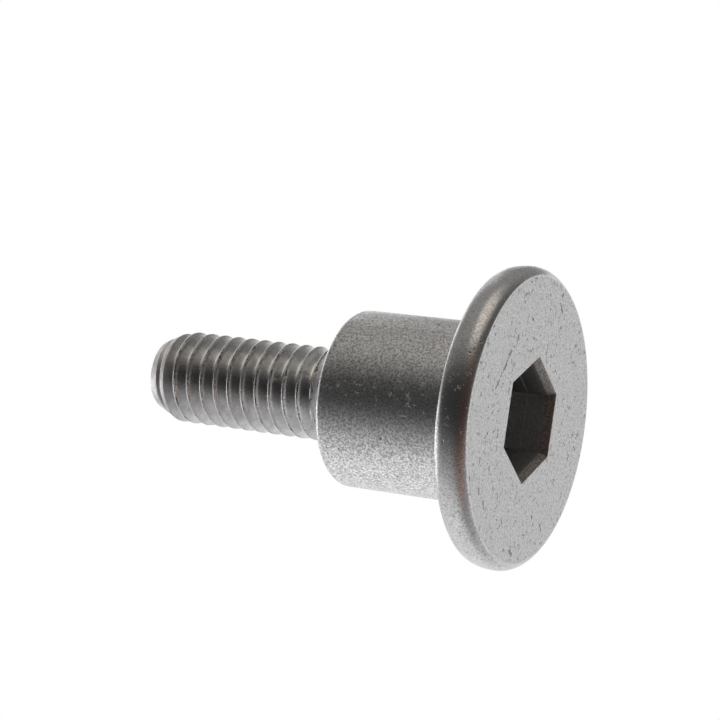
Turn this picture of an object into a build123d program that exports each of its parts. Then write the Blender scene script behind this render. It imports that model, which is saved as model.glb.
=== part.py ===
"""Shoulder bolt: a flat disc head with a hexagon socket, a plain shoulder and an M6 thread.

Millimetres, +Z up. The bolt stands on its head: the flat face of the head lies in z = 0,
the axis of the bolt is Z and the threaded end points up. It is one cold-headed and rolled
piece of steel, so it is one solid.
"""
import math
import os

from build123d import *

# Disc head
head_diameter = 18.2  # over the bulged rim
head_thickness = 1.95
rim_bulge = 0.5  # how far the rim stands out beyond the edge of the flat face
rim_crown_height = 0.85  # height of the rim's widest line above the face
rim_back_draw = 0.2  # how far the rim draws in again towards its back
rim_back_chamfer = 0.2

# Hexagon socket for a 6 mm key
socket_across_flats = 6.05
socket_depth = 5.0  # full hexagon, measured from the face
socket_mouth_across_flats = 6.6
socket_lead_in_angle = 30  # of the lead-in's walls from the axis
socket_floor_angle = 60  # of the cone under the hexagon, from the axis

# Shoulder, which runs in a bush or a slot
shoulder_diameter = 10.95
shoulder_length = 9.75
underhead_chamfer = 0.25  # the strengthened corner between the head and the shoulder
shoulder_edge_chamfer = 0.2

# Rolled thread, M6 x 1, right-hand
thread_diameter = 5.85
thread_pitch = 1.0
thread_length = 14.0  # from the end of the shoulder to the tip
relief_turns = 1.1  # width of the relief groove beside the shoulder, in pitches
relief_clearance = 0.05  # how far the relief lies below the thread's root
thread_start_angle = 25
tip_chamfer_angle = 25  # of the point's cone from the axis
tip_step = 0.12  # how far the tip's edge lies below the thread's root

# Basic profile of a metric thread, in pitches
FLANK_ANGLE = 30
THREAD_DEPTH = 0.6134
CREST_FLAT = 0.125
CUTTER_OVERSHOOT = 0.08

# Derived sizes
head_radius = head_diameter / 2
face_radius = head_radius - rim_bulge
rim_back_radius = head_radius - rim_back_draw
shoulder_radius = shoulder_diameter / 2
shoulder_end = head_thickness + shoulder_length
tip_end = shoulder_end + thread_length
thread_radius = thread_diameter / 2
root_radius = thread_radius - THREAD_DEPTH * thread_pitch
relief_radius = root_radius - relief_clearance
relief_width = relief_turns * thread_pitch
tip_radius = root_radius - tip_step
lead_in_depth = (socket_mouth_across_flats - socket_across_flats) / 2 / math.tan(
    math.radians(socket_lead_in_angle)
)


def turned(outline):
    """The solid of revolution about Z of a closed list of (radius, height) points."""
    with BuildSketch(Plane.XZ) as sketch:
        with BuildLine():
            Polyline(*outline, close=True)
        make_face()
    return revolve(sketch.sketch, Axis.Z, 360)


def head_and_shoulder():
    """The disc head with its bulged rim, and the shoulder, turned about the axis."""
    crown = (head_radius, rim_crown_height)
    rim_back = (rim_back_radius, head_thickness)
    shoulder_foot = (shoulder_radius, head_thickness)
    shoulder_edge = (shoulder_radius, shoulder_end)
    with BuildSketch(Plane.XZ) as sketch:
        with BuildLine():
            Line((0, 0), (face_radius, 0))
            TangentArc(crown, (face_radius, 0), tangent=(0, -1))
            TangentArc(crown, rim_back, tangent=(0, 1))
            Polyline(rim_back, shoulder_foot, shoulder_edge, (0, shoulder_end), (0, 0))
        make_face()
        for corner, size in [
            (rim_back, rim_back_chamfer),
            (shoulder_foot, underhead_chamfer),
            (shoulder_edge, shoulder_edge_chamfer),
        ]:
            chamfer(sketch.vertices().sort_by_distance(Vector(*corner))[0], size)
    return revolve(sketch.sketch, Axis.Z, 360)


def hexagon(across_flats):
    """A hexagon on the axis, with corners on X."""
    return RegularPolygon(across_flats / 2, 6, major_radius=False)


def socket():
    """The space of the hexagon socket: the lead-in, the hexagon and the cone under it."""
    lead_in = extrude(hexagon(socket_mouth_across_flats), lead_in_depth, taper=socket_lead_in_angle)
    key_way = extrude(hexagon(socket_across_flats), socket_depth)
    cone_radius = socket_across_flats / 2
    cone_height = cone_radius / math.tan(math.radians(socket_floor_angle))
    floor = Pos(0, 0, socket_depth + cone_height / 2) * Cone(cone_radius, 0, cone_height)
    return lead_in + key_way + floor


def thread_groove():
    """The helical groove between the crests, from the relief to past the tip."""
    start = shoulder_end + relief_width / 2
    overshoot = CUTTER_OVERSHOOT * thread_pitch
    slope = math.tan(math.radians(FLANK_ANGLE))
    depth = THREAD_DEPTH * thread_pitch
    mouth_half = (1 - CREST_FLAT) * thread_pitch / 2
    outer_half = mouth_half + overshoot * slope
    root_half = mouth_half - depth * slope
    path = Helix(
        thread_pitch, tip_end + thread_pitch - start, thread_radius, center=(0, 0, start)
    )
    across = Plane(origin=path @ 0, x_dir=(1, 0, 0), z_dir=path % 0)
    section = Polyline(
        (overshoot, -outer_half),
        (overshoot, outer_half),
        (-depth, root_half),
        (-depth, -root_half),
        close=True,
    )
    groove = sweep(across * make_face(section), path=path, is_frenet=True)
    return Rot(0, 0, thread_start_angle) * groove


def point_cutter(top):
    """What the conical point and the flat tip take off a shank that reaches up to top."""
    outside = thread_radius + thread_pitch
    slope = math.tan(math.radians(tip_chamfer_angle))
    return turned(
        [
            (0, tip_end),
            (tip_radius, tip_end),
            (outside, tip_end - (outside - tip_radius) / slope),
            (outside, top),
            (0, top),
        ]
    )


def relief_cutter():
    """The relief groove beside the shoulder, with a 45 degree side where the thread starts."""
    outside = thread_radius + thread_pitch
    side = outside - relief_radius
    groove_end = shoulder_end + relief_width
    return turned(
        [
            (relief_radius, shoulder_end),
            (outside, shoulder_end),
            (outside, groove_end + side),
            (relief_radius, groove_end),
        ]
    )


def threaded_shank():
    """The threaded end. It starts inside the shoulder, at half the shoulder's length."""
    base = head_thickness + shoulder_length / 2
    top = tip_end + 2 * thread_pitch
    bar = Pos(0, 0, (base + top) / 2) * Cylinder(thread_radius, top - base)
    return bar - thread_groove() - point_cutter(top + thread_pitch) - relief_cutter()


def shoulder_bolt():
    """The whole bolt as one solid."""
    return head_and_shoulder() - socket() + threaded_shank()


os.makedirs("parts", exist_ok=True)
export_step(shoulder_bolt(), "parts/shoulder_bolt.step")
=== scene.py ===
"""Looks of the shoulder bolt: a zinc-flake-coated steel bolt standing on its flat head.

The bolt is one mesh, a stack of rings from the bottom of the hexagon socket to the shoulder's
end and a helical grid for the thread. Its lengths are in millimetres until the mesh is written.
"""
import math

import bmesh
import bpy
import numpy as np
from mathutils import Matrix, Vector


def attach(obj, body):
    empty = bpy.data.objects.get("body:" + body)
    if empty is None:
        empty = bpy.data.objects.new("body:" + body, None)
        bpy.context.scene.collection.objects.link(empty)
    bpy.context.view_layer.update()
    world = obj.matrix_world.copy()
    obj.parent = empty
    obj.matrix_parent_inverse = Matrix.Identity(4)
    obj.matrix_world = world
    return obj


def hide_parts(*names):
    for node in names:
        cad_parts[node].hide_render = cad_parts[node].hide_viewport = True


MM = 0.001
COLUMNS = 240  # points in each ring; a multiple of 6, so that the hexagon gets true corners

# ---------------------------------------------------------------- the bolt's sizes
HEAD_RADIUS = 9.1
FACE_RADIUS = 8.6
HEAD_THICKNESS = 1.95
RIM_CROWN = 0.85
RIM_BACK_DRAW = 0.33
FACE_EDGE_ROUND = 0.06
SOCKET_FLAT = 3.025
SOCKET_MOUTH_FLAT = 3.3
SOCKET_DEPTH = 5.0
SOCKET_CONE_DEPTH = 1.3
SOCKET_STEP_DEPTH = 1.75
SOCKET_STEP = 0.015
LEAD_IN_DEPTH = 0.476
LEAD_IN_ROUND = 0.03
SHOULDER_RADIUS = 5.475
SHOULDER_END = 11.7
SHOULDER_EDGE_ROUND = 0.34
UNDERHEAD_FILLET = 0.25
RELIEF_RADIUS = 2.262
RELIEF_END = 12.8
THREAD_RADIUS = 2.925
THREAD_DEPTH = 0.613
PITCH = 1.0
CREST_PHASE = 0.68  # a crest's height on the +X side, less whole pitches
CREST_TIP_ROUND = 0.20
CREST_HEAD_ROUND = 0.13
ROOT_ROUND = 0.14
FLANK_SLOPE = math.radians(60)
SEAM_PLACE = -0.02  # from the middle of the crest, towards the head
SEAM_WIDTH = 0.02
SEAM_DEPTH = 0.028
NICKS = ((-64.4, 13.62), (-75.9, 15.62))  # angle in degrees and height
NICK_DEPTH = 0.13
NICK_WIDTH = 0.09
NICK_LENGTH = 0.17
TIP_RADIUS = 2.19
TIP_ROUND = 0.07
TIP_ANGLE = math.radians(25)
TIP_END = 25.7

# ---------------------------------------------------------------- the camera
VIEW_AIM = Vector((2.36, -0.15, 11.87)) * MM
VIEW_DISTANCE = 131.0 * MM
VIEW_HEADING = math.radians(3.63)  # from +Y towards +X
VIEW_RISE = math.radians(28.18)  # the camera looks up at the bolt
VIEW_ROLL = math.radians(83.28)
VIEW_LENS = 105.87

# ---------------------------------------------------------------- the studio
ROOM_DISTANCE = 0.5  # metres
ROOM_HALF_TURN = 152  # degrees that the room reaches to each side of -Y
ROOM_STEP = 4  # degrees between its points
FLOOR_HALF = 0.12  # metres
FLOOR_FADE = (110.0, 45.0)  # millimetres from the bolt where the floor is gone and is whole
DIFFUSE_SKY = 0.75
WHITE = 1.0

# ---------------------------------------------------------------- wear
# Scratches and dents on the face: start, end and width.
FACE_MARKS = (
    ((3.62, -4.20, 0), (3.42, -4.34, 0), 0.15),
    ((3.20, -4.46, 0), (2.45, -4.90, 0), 0.11),
    ((2.80, -4.66, 0), (2.55, -4.78, 0), 0.18),
    ((2.30, -5.02, 0), (2.05, -5.16, 0), 0.08),
    ((1.85, -5.28, 0), (1.30, -5.58, 0), 0.11),
    ((4.62, -3.50, 0), (4.46, -3.44, 0), 0.17),
    ((-7.80, -0.42, 0), (-8.02, -0.10, 0), 0.20),
    ((6.98, 2.25, 0), (6.86, 2.40, 0), 0.16),
    ((7.30, 1.95, 0), (7.10, 2.20, 0), 0.09),
    ((7.86, 2.16, 0), (7.76, 2.04, 0), 0.14),
    ((5.90, -1.90, 0), (5.78, -1.70, 0), 0.10),
    ((-4.46, -5.97, 0), (-4.80, -5.80, 0), 0.10),
    ((-5.14, -5.14, 0), (-5.56, -4.92, 0), 0.10),
    ((-4.60, -3.36, 0), (-4.86, -3.18, 0), 0.09),
    ((-6.06, 3.56, 0), (-6.40, 3.84, 0), 0.09),
    ((-1.60, 6.50, 0), (-1.86, 6.44, 0), 0.11),
)


# ---------------------------------------------------------------- outlines
def arc(centre, radii, start, end, count):
    """Points (radius, height) on an ellipse's arc; angles in degrees."""
    angles = np.radians(np.linspace(start, end, count))
    across = centre[0] + radii[0] * np.cos(angles)
    up = centre[1] + radii[1] * np.sin(angles)
    return list(zip(across.tolist(), up.tolist()))


def line(start, end, count):
    """Points (radius, height) on a straight line, without its first one."""
    shares = np.linspace(0, 1, count + 1)[1:]
    across = start[0] + (end[0] - start[0]) * shares
    up = start[1] + (end[1] - start[1]) * shares
    return list(zip(across.tolist(), up.tolist()))


def smooth_step(value, low, high):
    t = np.clip((value - low) / (high - low), 0.0, 1.0)
    return t * t * (3 - 2 * t)


def ring(angles, radius, height):
    """One closed ring of points."""
    heights = np.full_like(angles, height)
    return np.stack([radius * np.cos(angles), radius * np.sin(angles), heights], 1)


def hexagon_radius(angles, half_flat):
    """Distance from the axis to a hexagon that has corners on X."""
    return half_flat / np.cos(angles % (math.pi / 3) - math.pi / 6)


# ---------------------------------------------------------------- rings of the head and shoulder
def socket_rings(angles):
    """The drilled cone under the socket and the socket's walls, up to the lead-in."""
    cone = [(SOCKET_FLAT * s, SOCKET_DEPTH + SOCKET_CONE_DEPTH * (1 - s)) for s in (0.2, 0.5, 0.85)]
    deep = SOCKET_FLAT - SOCKET_STEP
    walls = [(deep, SOCKET_DEPTH)]
    walls += line((deep, SOCKET_DEPTH), (deep, SOCKET_STEP_DEPTH), 8)
    walls += line((deep, SOCKET_STEP_DEPTH), (SOCKET_FLAT, SOCKET_STEP_DEPTH - SOCKET_STEP), 2)
    top = (SOCKET_FLAT, LEAD_IN_DEPTH + LEAD_IN_ROUND)
    walls += line((SOCKET_FLAT, SOCKET_STEP_DEPTH - SOCKET_STEP), top, 5)
    rings = [ring(angles, radius, height) for radius, height in cone]
    return rings + [ring(angles, hexagon_radius(angles, flat), height) for flat, height in walls]


def lead_in_rings(angles):
    """The sloping band round the socket's mouth."""
    slope = (SOCKET_MOUTH_FLAT - SOCKET_FLAT) / LEAD_IN_DEPTH
    low = (SOCKET_FLAT + LEAD_IN_ROUND * slope, LEAD_IN_DEPTH - LEAD_IN_ROUND)
    high = (SOCKET_MOUTH_FLAT - LEAD_IN_ROUND * slope, LEAD_IN_ROUND)
    band = [low] + line(low, high, 5) + [(SOCKET_MOUTH_FLAT + 0.01, 0.006)]
    return [ring(angles, hexagon_radius(angles, flat), height) for flat, height in band]


def face_rings(angles):
    """The flat face, from the hexagonal mouth out to its round edge."""
    inner = hexagon_radius(angles, SOCKET_MOUTH_FLAT + 0.04)
    outer = FACE_RADIUS - FACE_EDGE_ROUND
    return [ring(angles, inner + (outer - inner) * share, 0.0) for share in np.linspace(0, 1, 16)]


def rim_outline():
    """The rim: a shallow crown to the widest place, and a rounder back to the underside."""
    draw = HEAD_RADIUS - FACE_RADIUS
    crown = (draw**2 + RIM_CROWN**2) / (2 * draw)
    start = math.degrees(math.asin(RIM_CROWN / crown))
    outline = [(FACE_RADIUS - 0.02, 0.01)]
    outline += arc((HEAD_RADIUS - crown, RIM_CROWN), (crown, crown), 3 - start, 0, 16)
    back = (RIM_BACK_DRAW, HEAD_THICKNESS - RIM_CROWN)
    return outline + arc((HEAD_RADIUS - RIM_BACK_DRAW, RIM_CROWN), back, 6, 90, 15)


def shoulder_outline():
    """The head's underside, the fillet under it, the shoulder and its flat end."""
    foot = SHOULDER_RADIUS + UNDERHEAD_FILLET
    fillet = (UNDERHEAD_FILLET, UNDERHEAD_FILLET)
    outline = line((HEAD_RADIUS - RIM_BACK_DRAW, HEAD_THICKNESS), (foot, HEAD_THICKNESS), 10)
    outline += arc((foot, HEAD_THICKNESS + UNDERHEAD_FILLET), fillet, 262, 180, 6)
    top = SHOULDER_END - SHOULDER_EDGE_ROUND
    outline += line(outline[-1], (SHOULDER_RADIUS, top), 12)
    edge = (SHOULDER_EDGE_ROUND, SHOULDER_EDGE_ROUND)
    outline += arc((SHOULDER_RADIUS - SHOULDER_EDGE_ROUND, top), edge, 12, 90, 7)
    return outline + line(outline[-1], (RELIEF_RADIUS, SHOULDER_END), 8)


# ---------------------------------------------------------------- the thread
def across_pitch():
    """Places across one pitch, measured from a crest, closer together where the shape turns."""
    crest = np.array([-0.113, -0.067, SEAM_PLACE, 0.005, 0.04, 0.08, 0.125, 0.173])
    return np.concatenate([crest, [0.25, 0.34, 0.42, 0.5, 0.58, 0.67, 0.76, 0.84]])


def crest_depth(offset, rounding):
    """How far a rounded crest and the flank below it lie under the crest's top."""
    end = rounding * math.sin(FLANK_SLOPE)
    on_round = np.clip(offset, 0, end)
    drop = rounding - np.sqrt(rounding**2 - on_round**2)
    return drop + (offset - on_round) * math.tan(FLANK_SLOPE)


def thread_radius(heights, angles):
    """The thread's radius: worn crests, the seam that rolling left on them and a round root."""
    place = (heights - CREST_PHASE) / PITCH - angles / math.tau
    offset = ((place + 0.5) % 1.0 - 0.5) * PITCH
    tip_side = crest_depth(np.abs(offset), CREST_TIP_ROUND)
    head_side = crest_depth(np.abs(offset), CREST_HEAD_ROUND)
    depth = np.where(offset > 0, tip_side, head_side)
    beyond = np.clip(depth - THREAD_DEPTH + ROOT_ROUND, 0, None)
    flank = np.minimum(depth, THREAD_DEPTH - ROOT_ROUND)
    depth = flank + ROOT_ROUND * np.tanh(beyond / ROOT_ROUND)
    seam = SEAM_DEPTH * np.exp(-(((offset - SEAM_PLACE) / SEAM_WIDTH) ** 2))
    return THREAD_RADIUS - depth - seam - nick_depth(heights, angles)


def nick_depth(heights, angles):
    """The depth of the knocks, each a short notch across a crest."""
    depth = 0.0
    for degrees, height in NICKS:
        aside = THREAD_RADIUS * (angles - math.radians(degrees % 360))
        along = heights - height
        notch = np.exp(-((aside / NICK_WIDTH) ** 2) - (along / NICK_LENGTH) ** 2)
        depth = depth + NICK_DEPTH * notch
    return depth


def shank_radius(heights, angles):
    """The thread cut down by the relief at its start and by the point at its end."""
    relief = RELIEF_RADIUS + np.clip(heights - RELIEF_END, 0, None)
    from_tip = TIP_END - heights
    point = TIP_RADIUS + from_tip * math.tan(TIP_ANGLE)
    rounded = TIP_ROUND - np.sqrt(np.clip(TIP_ROUND**2 - (TIP_ROUND - from_tip) ** 2, 0, None))
    point = np.where(from_tip < TIP_ROUND, point - rounded, point)
    return np.minimum(np.minimum(thread_radius(heights, angles), relief), point)


def thread_grid(angles):
    """Rows of points that climb one pitch in a turn, and the number of rows in a pitch."""
    places = across_pitch()
    pitches = np.arange(math.floor(SHOULDER_END) - 1, math.ceil(TIP_END) + 1)
    starts = CREST_PHASE + PITCH * (pitches[:, None] + places[None, :]).ravel()
    heights = starts[:, None] + PITCH * angles[None, :] / math.tau
    heights = np.clip(heights, SHOULDER_END, TIP_END)
    radii = shank_radius(heights, angles[None, :])
    points = np.stack([radii * np.cos(angles), radii * np.sin(angles), heights], 2)
    return points, len(places)


# ---------------------------------------------------------------- the mesh
def strip(first, second, columns):
    """Quads between two rings that start at these point numbers."""
    turned = (columns + 1) % COLUMNS
    return np.stack([first + columns, first + turned, second + turned, second + columns], 1)


def thread_quads(rows, per_pitch, first):
    """Quads of the thread's grid. The end of a row meets the start of the row a pitch above it."""
    row, column = np.meshgrid(np.arange(rows - 1), np.arange(COLUMNS), indexing="ij")
    wraps = column == COLUMNS - 1
    next_row = row + per_pitch * wraps
    kept = next_row + 1 < rows
    row, column, wraps, next_row = row[kept], column[kept], wraps[kept], next_row[kept]
    next_column = np.where(wraps, 0, column + 1)
    low, high = row * COLUMNS + column, (row + 1) * COLUMNS + column
    next_low, next_high = next_row * COLUMNS + next_column, (next_row + 1) * COLUMNS + next_column
    return first + np.stack([low, next_low, next_high, high], 1)


def head_and_shoulder(angles, names):
    """The rings from the socket's bottom to the shoulder's end, and each ring's finish."""
    sections = {
        "socket": socket_rings(angles),
        "lead_in": lead_in_rings(angles),
        "face": face_rings(angles),
        "rim": [ring(angles, radius, height) for radius, height in rim_outline()],
        "shoulder": [ring(angles, radius, height) for radius, height in shoulder_outline()],
    }
    rings, owners = [], []
    for name, part in sections.items():
        rings += part
        owners += [names.index(name)] * len(part)
    return rings, owners


def bolt_mesh(finishes):
    """The whole bolt as one mesh, with one material slot for each finish."""
    angles = np.arange(COLUMNS) * math.tau / COLUMNS
    columns = np.arange(COLUMNS)
    names = list(finishes)
    rings, owners = head_and_shoulder(angles, names)
    grid, per_pitch = thread_grid(angles)
    inner_tip = [ring(angles, TIP_RADIUS * s, TIP_END) for s in (0.97, 0.6, 0.2)]
    points = np.concatenate(rings + [grid.reshape(-1, 3)] + inner_tip)
    quads = [strip(k * COLUMNS, (k + 1) * COLUMNS, columns) for k in range(len(rings) - 1)]
    slots = [np.full(COLUMNS, owner) for owner in owners[1:]]
    grid_start = len(rings) * COLUMNS
    quads.append(thread_quads(len(grid), per_pitch, grid_start))
    tip_start = grid_start + len(grid) * COLUMNS
    quads.append(strip(tip_start - COLUMNS, tip_start, columns))
    for start in (tip_start, tip_start + COLUMNS):
        quads.append(strip(start, start + COLUMNS, columns))
    last = tip_start + 2 * COLUMNS
    quads = np.concatenate(quads)
    slots = np.concatenate(slots)
    slots = np.concatenate([slots, np.full(len(quads) - len(slots), names.index("thread"))])
    caps = [columns[::-1].tolist(), (last + columns).tolist()]

    mesh = bpy.data.meshes.new("shoulder bolt")
    mesh.from_pydata((points * MM).tolist(), [], quads.tolist() + caps)
    for name in names:
        mesh.materials.append(finishes[name])
    slots = np.concatenate([slots, [names.index("socket"), names.index("thread")]])
    mesh.polygons.foreach_set("material_index", slots.astype(np.int32))
    weld(mesh)
    mesh.shade_smooth()
    mesh.set_sharp_from_angle(angle=math.radians(32))
    return mesh


def weld(mesh):
    """Joins the points that meet, which also drops the thread's rows beyond both ends."""
    work = bmesh.new()
    work.from_mesh(mesh)
    bmesh.ops.remove_doubles(work, verts=work.verts, dist=0.0005 * MM)
    work.to_mesh(mesh)
    work.free()


# ---------------------------------------------------------------- materials
class Nodes:
    """Short names for the shader nodes that the finishes use."""

    def __init__(self, name):
        self.material = bpy.data.materials.new(name)
        self.material.use_nodes = True
        self.tree = self.material.node_tree
        self.shader = self.tree.nodes["Principled BSDF"]
        place = self.tree.nodes.new("ShaderNodeTexCoord").outputs["Object"]
        self.place = self.vector("SCALE", place, scale=1 / MM)

    def feed(self, socket, value):
        if isinstance(value, bpy.types.NodeSocket):
            self.tree.links.new(value, socket)
        elif value is not None:
            socket.default_value = value

    def math(self, operation, first, second=None, third=None, clamp=False):
        node = self.tree.nodes.new("ShaderNodeMath")
        node.operation = operation
        node.use_clamp = clamp
        for socket, value in zip(node.inputs, (first, second, third)):
            self.feed(socket, value)
        return node.outputs[0]

    def vector(self, operation, first, second=None, scale=None):
        node = self.tree.nodes.new("ShaderNodeVectorMath")
        node.operation = operation
        self.feed(node.inputs[0], first)
        self.feed(node.inputs[1], second)
        if operation == "SCALE":
            self.feed(node.inputs["Scale"], scale)
        result = "Value" if operation in ("LENGTH", "DOT_PRODUCT") else "Vector"
        return node.outputs[result]

    def noise_node(self, scale, detail, roughness):
        node = self.tree.nodes.new("ShaderNodeTexNoise")
        self.feed(node.inputs["Vector"], self.place)
        node.inputs["Scale"].default_value = scale
        node.inputs["Detail"].default_value = detail
        node.inputs["Roughness"].default_value = roughness
        return node

    def noise(self, scale, detail=2.0, roughness=0.5):
        return self.noise_node(scale, detail, roughness).outputs["Fac"]

    def noise_colour(self, scale):
        return self.noise_node(scale, 2.0, 0.5).outputs["Color"]

    def ramp(self, value, low, high, to_low=0.0, to_high=1.0):
        node = self.tree.nodes.new("ShaderNodeMapRange")
        node.interpolation_type = "SMOOTHSTEP"
        limits = {"From Min": low, "From Max": high, "To Min": to_low, "To Max": to_high}
        for name, number in limits.items():
            node.inputs[name].default_value = number
        self.feed(node.inputs["Value"], value)
        return node.outputs["Result"]

    def mix(self, share, first, second):
        node = self.tree.nodes.new("ShaderNodeMix")
        node.data_type = "RGBA"
        self.feed(node.inputs["Factor"], share)
        self.feed(node.inputs["A"], first)
        self.feed(node.inputs["B"], second)
        return node.outputs["Result"]

    def pits(self, scale, share, size, place):
        """Spots in this share of the cells, each up to this size in millimetres."""
        node = self.tree.nodes.new("ShaderNodeTexVoronoi")
        self.feed(node.inputs["Vector"], place)
        node.inputs["Scale"].default_value = scale
        apart = self.tree.nodes.new("ShaderNodeSeparateColor")
        self.feed(apart.inputs["Color"], node.outputs["Color"])
        near = self.ramp(node.outputs["Distance"], size * scale, size * scale * 0.35)
        chosen = self.math("LESS_THAN", apart.outputs["Red"], share)
        return self.math("MULTIPLY", near, chosen)

    def scratch(self, start, end, width, place):
        """One on the line between two places and within this width of it, in millimetres."""
        along = Vector(end) - Vector(start)
        offset = self.vector("SUBTRACT", place, start)
        reach = self.vector("DOT_PRODUCT", offset, along)
        share = self.math("DIVIDE", reach, along.length_squared, clamp=True)
        nearest = self.vector("SCALE", tuple(along), scale=share)
        distance = self.vector("LENGTH", self.vector("SUBTRACT", offset, nearest))
        return self.ramp(distance, width, width * 0.3)

    def helix_offset(self):
        """Distance along the axis from the nearest crest, positive towards the tip."""
        apart = self.tree.nodes.new("ShaderNodeSeparateXYZ")
        self.feed(apart.inputs[0], self.place)
        angle = self.math("ARCTAN2", apart.outputs["Y"], apart.outputs["X"])
        turn = self.math("DIVIDE", angle, math.tau)
        height = self.math("DIVIDE", self.math("SUBTRACT", apart.outputs["Z"], CREST_PHASE), PITCH)
        place = self.math("ADD", self.math("SUBTRACT", height, turn), 0.5)
        return self.math("MULTIPLY", self.math("SUBTRACT", self.math("FRACT", place), 0.5), PITCH)

    def bump(self, height, distance):
        node = self.tree.nodes.new("ShaderNodeBump")
        self.feed(node.inputs["Height"], height)
        node.inputs["Distance"].default_value = distance
        self.feed(self.shader.inputs["Normal"], node.outputs["Normal"])

    def metal(self, base, roughness, relief, depth):
        """Sets the shader up as bare or coated metal; the relief's depth is in millimetres."""
        self.feed(self.shader.inputs["Base Color"], base)
        self.shader.inputs["Metallic"].default_value = 1.0
        self.feed(self.shader.inputs["Roughness"], roughness)
        self.bump(relief, depth * MM)


def grey(level, warmth=0.0):
    """A grey as a linear colour, redder and less blue by the warmth."""
    return (level * (1 + warmth), level, level * (1 - warmth), 1.0)


def pits_and_marks(nodes, pit_share, marks):
    """Irregular pits, closer together in some places than in others, and the single marks."""
    coarse = nodes.noise(2.6, detail=5.0, roughness=0.75)
    shake = nodes.vector("SUBTRACT", nodes.noise_colour(5.0), (0.5, 0.5, 0.5))
    shake = nodes.vector("SCALE", shake, scale=0.22)
    shaken = nodes.vector("ADD", nodes.place, shake)
    pits = nodes.ramp(coarse, 0.30 + 0.08 * pit_share, 0.27 + 0.08 * pit_share)
    pits = nodes.math("MAXIMUM", pits, nodes.pits(1.7, 0.5 * pit_share, 0.11, shaken))
    crowding = nodes.ramp(nodes.noise(0.45), 0.40, 0.60, 1.0, 0.35)
    pits = nodes.math("MULTIPLY", pits, crowding)
    for start, end, width in marks:
        pits = nodes.math("MAXIMUM", pits, nodes.scratch(start, end, width, shaken))
    return pits


def zinc_flake(name, level, roughness, grain, pit_share, marks=(), warmth=0.0):
    """Matt zinc-flake coating: fine light and dark grain, irregular pits and single marks."""
    nodes = Nodes(name)
    fine = nodes.noise(7.5, detail=4.0, roughness=0.7)
    broad = nodes.noise(0.8, detail=2.0)
    pits = pits_and_marks(nodes, pit_share, marks)

    flakes = nodes.ramp(fine, 0.36, 0.64)
    light, dark = 1 + 0.36 * grain, 1 - 0.56 * grain
    base = nodes.mix(flakes, grey(level * dark, warmth), grey(level * light, warmth))
    clouds = nodes.ramp(broad, 0.25, 0.75, 0.0, 0.12)
    base = nodes.mix(clouds, base, grey(level * 0.6, warmth))
    # The pits and marks are coloured darker.
    darkening = nodes.math("MULTIPLY", pits, 0.72)
    base = nodes.mix(darkening, base, grey(level * 0.15, warmth + 0.02))

    polish = nodes.ramp(fine, 0.3, 0.7, roughness + 0.08, roughness - 0.06)
    raised = nodes.math("MULTIPLY", fine, 0.4 * grain)
    sunk = nodes.math("MULTIPLY", pits, 0.5)
    nodes.metal(base, polish, nodes.math("SUBTRACT", raised, sunk), 0.03)
    return nodes.material


def nick_darkening(nodes):
    """The dark in each knock: a notch on the crest and a trail down the flank to the root."""
    near_crest, near_root = 2.88, 2.45
    darkening = 0.0
    for degrees, height in NICKS:
        across, up = math.cos(math.radians(degrees)), math.sin(math.radians(degrees))
        crest = (near_crest * across, near_crest * up)
        root = (near_root * across, near_root * up)
        notch = nodes.scratch((*crest, height - 0.12), (*crest, height + 0.08), 0.17, nodes.place)
        trail = nodes.scratch((*crest, height + 0.08), (*root, height + 0.42), 0.09, nodes.place)
        darkening = nodes.math("MAXIMUM", darkening, nodes.math("MAXIMUM", notch, trail))
    return darkening


def crest_seam_shade(nodes, fine, patchy):
    """The broken line of painted shade in the seam that rolling left along the crests."""
    wander = nodes.math("MULTIPLY", nodes.math("SUBTRACT", patchy, 0.5), 0.10)
    from_seam = nodes.math("SUBTRACT", nodes.helix_offset(), SEAM_PLACE)
    from_seam = nodes.math("ABSOLUTE", nodes.math("ADD", from_seam, wander))
    width = nodes.ramp(nodes.noise(1.1), 0.40, 0.62, 0.022, 0.060)
    stretches = nodes.ramp(patchy, 0.45, 0.56, 0.1, 1.0)
    broken = nodes.math("MULTIPLY", nodes.ramp(fine, 0.44, 0.52), stretches)
    seam = nodes.math("MULTIPLY", nodes.math("LESS_THAN", from_seam, width), broken)
    radius = nodes.vector("LENGTH", nodes.vector("MULTIPLY", nodes.place, (1, 1, 0)))
    on_crest = nodes.ramp(radius, 2.70, 2.84)
    return nodes.math("MULTIPLY", seam, on_crest)


def thread_coating(name, level, roughness):
    """The coating where rolling polished it: smooth flanks, painted shade in the seam and a duller
    point.
    """
    nodes = Nodes(name)
    fine = nodes.noise(6.0, detail=4.0, roughness=0.7)
    patchy = nodes.noise(1.6, detail=3.0)
    dark = nodes.math("MAXIMUM", crest_seam_shade(nodes, fine, patchy), nick_darkening(nodes))

    base = nodes.mix(nodes.ramp(patchy, 0.3, 0.7), grey(level * 0.88), grey(level * 1.08))
    specks = nodes.ramp(fine, 0.42, 0.34, 0.0, 0.35)
    base = nodes.mix(specks, base, grey(level * 0.3))
    # Painted shade darkens the seam along the crests; the knocks are coloured darker too.
    base = nodes.mix(nodes.math("MULTIPLY", dark, 0.85), base, grey(level * 0.08))

    height = nodes.vector("DOT_PRODUCT", nodes.place, (0, 0, 1))
    dull = nodes.ramp(height, TIP_END - 2.1, TIP_END - 1.3, 0.0, 0.28)
    polish = nodes.ramp(patchy, 0.3, 0.7, roughness + 0.05, roughness - 0.04)
    raised = nodes.math("MULTIPLY", fine, 0.35)
    relief = nodes.math("SUBTRACT", raised, dark)
    nodes.metal(base, nodes.math("ADD", polish, dull), relief, 0.04)
    return nodes.material


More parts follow.
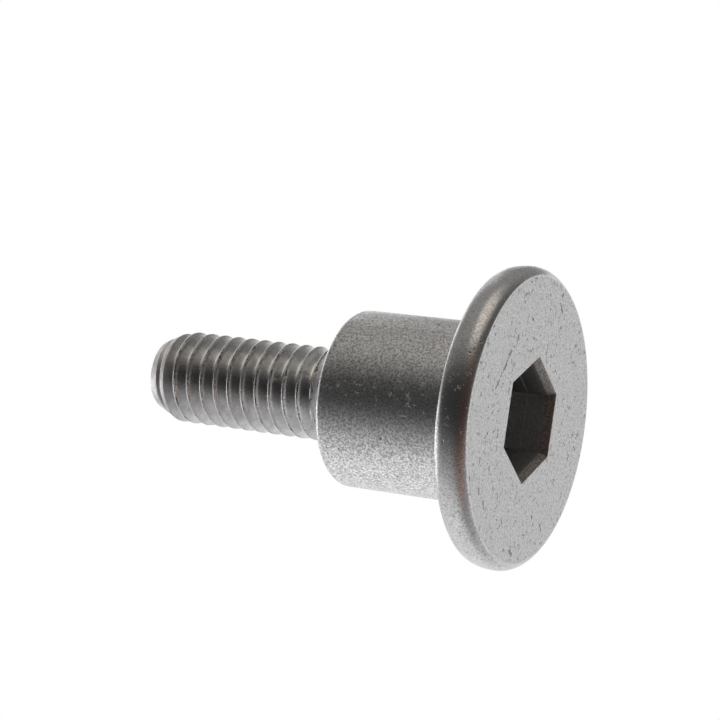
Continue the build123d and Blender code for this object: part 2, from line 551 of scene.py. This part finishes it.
def bolt_finishes():
    """The finish of each part of the bolt, by the part's name; the lead-in's is darkened and warmed
    as painted shade.
    """
    return {
        "socket": zinc_flake(
            "zinc flake in the socket", level=0.46, roughness=0.50, grain=0.3, pit_share=0.3
        ),
        # The lead-in gets the same coating, darker and warmer than on the face: painted shade.
        "lead_in": zinc_flake(
            "zinc flake on the lead-in with painted shade",
            level=0.30,
            roughness=0.45,
            grain=0.75,
            pit_share=1.0,
            warmth=0.05,
        ),
        "face": zinc_flake(
            "zinc flake on the face",
            level=0.55,
            roughness=0.42,
            grain=0.40,
            pit_share=1.5,
            marks=FACE_MARKS,
        ),
        "rim": zinc_flake(
            "zinc flake on the rim", level=0.57, roughness=0.26, grain=0.45, pit_share=1.0
        ),
        "shoulder": zinc_flake(
            "zinc flake on the shoulder", level=0.69, roughness=0.32, grain=0.9, pit_share=1.1
        ),
        "thread": thread_coating("polished zinc flake on the thread", level=0.63, roughness=0.25),
    }


# ---------------------------------------------------------------- floor, room, world, lamps, camera
def plain_object(name, points, faces):
    mesh = bpy.data.meshes.new(name)
    mesh.from_pydata(points, [], faces)
    thing = bpy.data.objects.new(name, mesh)
    bpy.context.scene.collection.objects.link(thing)
    return thing


def floor_material():
    """Pale and plain from above. From below, and to all but the camera's rays, it isn't there:
    the camera looks up through it at the bolt's flat head, and light reaches the bolt from below."""
    nodes = Nodes("pale floor")
    tree, shader = nodes.tree, nodes.shader
    nodes.feed(shader.inputs["Base Color"], (0.9, 0.9, 0.9, 1.0))
    shader.inputs["Roughness"].default_value = 1.0
    shader.inputs["Specular IOR Level"].default_value = 0.0
    path = tree.nodes.new("ShaderNodeLightPath")
    side = tree.nodes.new("ShaderNodeNewGeometry")
    from_above = nodes.math("SUBTRACT", 1.0, side.outputs["Backfacing"])
    near = nodes.ramp(nodes.vector("LENGTH", nodes.place), *FLOOR_FADE)
    shown = nodes.math("MULTIPLY", path.outputs["Is Camera Ray"], from_above)
    shown = nodes.math("MULTIPLY", shown, near)
    clear = tree.nodes.new("ShaderNodeBsdfTransparent")
    blend = tree.nodes.new("ShaderNodeMixShader")
    nodes.feed(blend.inputs[0], shown)
    nodes.feed(blend.inputs[1], clear.outputs[0])
    nodes.feed(blend.inputs[2], shader.outputs[0])
    nodes.feed(tree.nodes["Material Output"].inputs["Surface"], blend.outputs[0])
    return nodes.material


def make_floor():
    sides = [(-1, -1), (1, -1), (1, 1), (-1, 1)]
    corners = [(FLOOR_HALF * x, FLOOR_HALF * y, 0) for x, y in sides]
    floor = plain_object("floor", corners, [(0, 1, 2, 3)])
    floor.data.materials.append(floor_material())


def room_light(azimuth, rise):
    """The colour of what the bolt reflects; degrees, azimuth 0 is -Y and 90 is +X."""
    below = smooth_step(-rise, -12, 32) * smooth_step(azimuth, -175, -85)
    above = smooth_step(rise, 42, 66) * smooth_step(azimuth, -150, -105)
    white_side = smooth_step(-azimuth, 8, 98) * (1 - 0.66 * below) * (1 - 0.6 * above)
    grey_side = 0.29 * smooth_step(azimuth, 14, 62) * (1 - 0.7 * smooth_step(-rise, 10, 45))
    overhead = 0.9 * smooth_step(rise, 48, 62) * smooth_step(azimuth, 85, 118)
    patch = smooth_step(azimuth, 38, 58) * smooth_step(-azimuth, -102, -86)
    patch = 0.55 * patch * smooth_step(rise, -45, -25) * smooth_step(-rise, -24, -8)
    level = 0.035 + white_side + grey_side + overhead + patch
    ruddy_side = smooth_step(azimuth, -95, -55) * smooth_step(-azimuth, -60, -30)
    ruddy = 0.50 * smooth_step(-rise, 5, 35) * ruddy_side
    yellow = 0.03 * smooth_step(azimuth, 10, 50) + 0.10 * patch
    cool = 0.012 * smooth_step(-azimuth, 30, 60)
    return level * (1 + ruddy + yellow), level, level * (1 - 0.3 * ruddy - 1.3 * yellow + cool)


def make_room():
    """What the bolt's metal reflects: a room that only reflections see. It is open behind the
    bolt, where they reach the white world."""
    across = np.arange(-ROOM_HALF_TURN, ROOM_HALF_TURN + 1, float(ROOM_STEP))
    upward = np.arange(-88, 89, float(ROOM_STEP))
    azimuths, rises = np.meshgrid(across, upward, indexing="ij")
    east, up = np.radians(azimuths), np.radians(rises)
    out = np.stack([np.sin(east) * np.cos(up), -np.cos(east) * np.cos(up), np.sin(up)], 2)
    rows, columns = azimuths.shape
    faces = []
    for i in range(rows - 1):
        for j in range(columns - 1):
            k = i * columns + j
            faces.append((k, k + 1, k + columns + 1, k + columns))
    room = plain_object("room", (out.reshape(-1, 3) * ROOM_DISTANCE).tolist(), faces)
    room.location = VIEW_AIM
    room.visible_camera = False
    room.visible_diffuse = False
    room.visible_shadow = False
    colours = np.stack([*room_light(azimuths, rises), np.ones(azimuths.shape)], 2)
    glow = room.data.color_attributes.new("glow", "FLOAT_COLOR", "POINT")
    glow.data.foreach_set("color", colours.astype(np.float32).ravel())
    material = bpy.data.materials.new("room")
    material.use_nodes = True
    tree = material.node_tree
    tree.nodes.clear()
    painted = tree.nodes.new("ShaderNodeAttribute")
    painted.attribute_name = "glow"
    shine = tree.nodes.new("ShaderNodeEmission")
    output = tree.nodes.new("ShaderNodeOutputMaterial")
    tree.links.new(painted.outputs["Color"], shine.inputs["Color"])
    tree.links.new(shine.outputs[0], output.inputs["Surface"])
    room.data.materials.append(material)


def make_world():
    world = bpy.data.worlds.new("studio")
    world.use_nodes = True
    tree = world.node_tree
    background = tree.nodes["Background"]
    path = tree.nodes.new("ShaderNodeLightPath")
    seen = path.outputs["Is Camera Ray"]
    for name in ("Is Glossy Ray", "Is Transmission Ray"):
        either = tree.nodes.new("ShaderNodeMath")
        either.operation = "MAXIMUM"
        tree.links.new(seen, either.inputs[0])
        tree.links.new(path.outputs[name], either.inputs[1])
        seen = either.outputs[0]
    mix = tree.nodes.new("ShaderNodeMix")
    mix.data_type = "RGBA"
    tree.links.new(seen, mix.inputs["Factor"])
    mix.inputs["A"].default_value = grey(DIFFUSE_SKY)
    mix.inputs["B"].default_value = grey(WHITE)
    tree.links.new(mix.outputs["Result"], background.inputs["Color"])
    bpy.context.scene.world = world


def make_lamp(name, place, size, energy):
    light = bpy.data.lights.new(name, "AREA")
    light.size = size
    light.energy = energy
    lamp = bpy.data.objects.new(name, light)
    lamp.location = place
    lamp.rotation_mode = "QUATERNION"
    lamp.rotation_quaternion = (VIEW_AIM - lamp.location).to_track_quat("-Z", "Y")
    bpy.context.scene.collection.objects.link(lamp)


def make_camera():
    forward = Vector(
        (
            math.sin(VIEW_HEADING) * math.cos(VIEW_RISE),
            math.cos(VIEW_HEADING) * math.cos(VIEW_RISE),
            math.sin(VIEW_RISE),
        )
    )
    level = Vector((math.cos(VIEW_HEADING), -math.sin(VIEW_HEADING), 0))
    up = level.cross(forward) * math.cos(VIEW_ROLL) + level * math.sin(VIEW_ROLL)
    right = forward.cross(up)
    data = bpy.data.cameras.new("camera")
    data.lens = VIEW_LENS
    data.clip_start, data.clip_end = 0.005, 5.0
    camera = bpy.data.objects.new("camera", data)
    turn = Matrix((right, up, -forward)).transposed().to_4x4()
    camera.matrix_world = Matrix.Translation(VIEW_AIM - forward * VIEW_DISTANCE) @ turn
    bpy.context.scene.collection.objects.link(camera)
    bpy.context.scene.camera = camera


# ---------------------------------------------------------------- the scene
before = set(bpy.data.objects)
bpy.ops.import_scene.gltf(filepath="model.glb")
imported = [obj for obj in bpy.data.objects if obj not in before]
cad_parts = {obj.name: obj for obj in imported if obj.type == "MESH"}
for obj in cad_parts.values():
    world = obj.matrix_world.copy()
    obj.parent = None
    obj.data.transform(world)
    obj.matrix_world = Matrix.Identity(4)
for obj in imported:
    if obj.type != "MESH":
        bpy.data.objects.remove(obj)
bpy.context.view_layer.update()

bolt = bpy.data.objects.new("bolt", bolt_mesh(bolt_finishes()))
bpy.context.scene.collection.objects.link(bolt)
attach(bolt, "root")
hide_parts("shoulder_bolt")

make_floor()
make_room()
make_world()
make_lamp("key", Vector((-0.10, -0.04, 0.40)), 0.25, 0.30)
make_lamp("fill", Vector((0.15, 0.20, 0.30)), 0.30, 0.15)
make_camera()
bpy.context.scene.view_settings.view_transform = "Standard"
